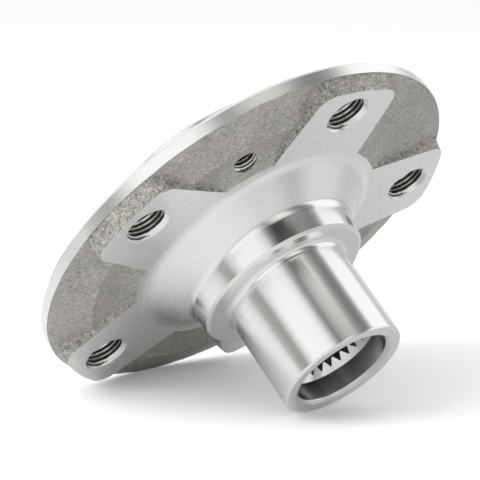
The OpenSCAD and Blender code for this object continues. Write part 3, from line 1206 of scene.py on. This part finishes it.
def add_reflection_sheet(name, distance, heights, columns):
    """A curved glowing sheet that only mirrored rays see, with a shade at each point: a painted
    reflection, not a lamp
    """
    points, shades, faces = [], [], []
    rows = len(heights)
    for column, (angle, lower, upper, warmth) in enumerate(columns):
        a = math.radians(angle)
        for row, (height, share) in enumerate(heights):
            points.append((distance * math.cos(a), distance * math.sin(a), height))
            shade = lower + (upper - lower) * share
            shades.append([shade * (1 + warmth * (tint - 1)) for tint in WARM_REFLECTION] + [1.0])
            if column and row:
                k = column * rows + row
                faces.append((k - rows - 1, k - 1, k, k - rows))
    mesh = bpy.data.meshes.new(name)
    mesh.from_pydata(points, [], faces)
    reflection_colours = mesh.attributes.new("painted_reflection_shade", "FLOAT_COLOR", "POINT")
    reflection_colours.data.foreach_set("color", [channel for shade in shades for channel in shade])
    material, nodes = new_material(name)
    shade = nodes.add("ShaderNodeAttribute", {"attribute_name": "painted_reflection_shade"})
    # The sheet's glow paints reflections into the steel; no lamp lights it
    light = nodes.add("ShaderNodeEmission", None, {"Color": shade, "Strength": 1.0})
    nodes.add("ShaderNodeOutputMaterial", None, {"Surface": light})
    mesh.materials.append(material)
    sheet = bpy.data.objects.new(name, mesh)
    for ray in ["camera", "diffuse", "transmission", "volume_scatter", "shadow"]:
        setattr(sheet, "visible_" + ray, False)
    bpy.context.collection.objects.link(sheet)


def add_camera(stage):
    """The camera, which looks at the hub from the photograph's viewing angle"""
    data = bpy.data.cameras.new("camera")
    data.lens = stage.lens
    data.sensor_width = SENSOR_WIDTH
    data.clip_start = NEAREST_SEEN
    camera = bpy.data.objects.new("camera", data)
    camera.location = Vector(CAMERA_PLACE)
    camera.rotation_euler = Euler([math.radians(a) for a in CAMERA_TURN])
    bpy.context.collection.objects.link(camera)
    bpy.context.scene.camera = camera


def add_floor(stage, up):
    """A round floor that the hub lies on, square to the given upward direction"""
    drop = -up * FLOOR_DROP
    turn = up.to_track_quat("Z", "Y").to_matrix()
    angles = [math.radians(360 / FLOOR_SIDES * i) for i in range(FLOOR_SIDES)]
    rim = [drop + turn @ Vector((FLOOR_RADIUS * math.cos(a), FLOOR_RADIUS * math.sin(a), 0))
           for a in angles]
    mesh = bpy.data.meshes.new("studio_floor")
    mesh.from_pydata(rim, [], [tuple(range(FLOOR_SIDES))])
    mesh.materials.append(floor_material(stage))
    floor = bpy.data.objects.new("studio_floor", mesh)
    bpy.context.collection.objects.link(floor)


def add_lamp(name, middle, size, power):
    """A round soft lamp that shines on the hub and isn't mirrored in it"""
    lamp = bpy.data.lights.new(name, "AREA")
    lamp.shape = "DISK"
    lamp.size = size
    lamp.energy = power
    light = bpy.data.objects.new(name, lamp)
    light.location = middle
    light.rotation_euler = middle.to_track_quat("Z", "Y").to_euler()
    light.visible_glossy = False
    bpy.context.collection.objects.link(light)


def add_lamps(up):
    """The lamps, by their turn from straight ahead and their lift off the floor"""
    look = -Vector(CAMERA_PLACE)
    forward = (look - up * look.dot(up)).normalized()
    right = forward.cross(up)
    for name, turn, lift, distance, size, power in LAMPS:
        a, b = math.radians(turn), math.radians(lift)
        level = forward * math.cos(a) + right * math.sin(a)
        add_lamp(name, (level * math.cos(b) + up * math.sin(b)) * distance, size, power)


class HUB_OT_stage(bpy.types.Operator):
    """Make the camera, the floor, the studio light and the glowing sheets that paint reflections in the
    steel
    """

    bl_idname = "hub.stage"
    bl_label = "Studio and camera"

    def execute(self, context):
        stage = context.scene.hub_stage
        up = Vector(FLOOR_UP).normalized()
        add_camera(stage)
        add_floor(stage, up)
        studio_world(stage)
        add_lamps(up)
        for name, (distance, heights, columns) in PAINTED_REFLECTIONS.items():
            add_reflection_sheet(name, distance, heights, columns)
        return {"FINISHED"}


class HUB_PT_wheel_hub(bpy.types.Panel):
    """Lists the hub's pieces and their sizes"""

    bl_idname = "HUB_PT_wheel_hub"
    bl_label = "Wheel hub"
    bl_space_type = "VIEW_3D"
    bl_region_type = "UI"
    bl_category = "Wheel hub"

    def draw(self, context):
        for operator in OPERATORS:
            self.layout.operator(operator.bl_idname)
        for name, group in GROUPS.items():
            box = self.layout.box()
            for field in group.__annotations__:
                box.prop(getattr(context.scene, name), field)


OPERATORS = [HUB_OT_forged_flange, HUB_OT_turned_body, HUB_OT_ground_journal,
             HUB_OT_centring_ring, HUB_OT_stage]
GROUPS = {"hub_flange": FlangeSizes, "hub_turned": TurnedSizes, "hub_cuts": CutSizes,
          "hub_finishes": Finishes, "hub_stage": StageSettings}


def register():
    for group in GROUPS.values():
        bpy.utils.register_class(group)
    for name, group in GROUPS.items():
        setattr(bpy.types.Scene, name, PointerProperty(type=group))
    for operator in OPERATORS:
        bpy.utils.register_class(operator)
    bpy.utils.register_class(HUB_PT_wheel_hub)


def unregister():
    bpy.utils.unregister_class(HUB_PT_wheel_hub)
    for operator in OPERATORS:
        bpy.utils.unregister_class(operator)
    for name, group in GROUPS.items():
        delattr(bpy.types.Scene, name)
        bpy.utils.unregister_class(group)


def main():
    register()
    bpy.ops.hub.forged_flange()
    bpy.ops.hub.turned_body()
    bpy.ops.hub.ground_journal()
    bpy.ops.hub.centring_ring()
    bpy.ops.hub.stage()
    bpy.context.scene.view_settings.view_transform = "Standard"


if __name__ == "__main__":
    main()
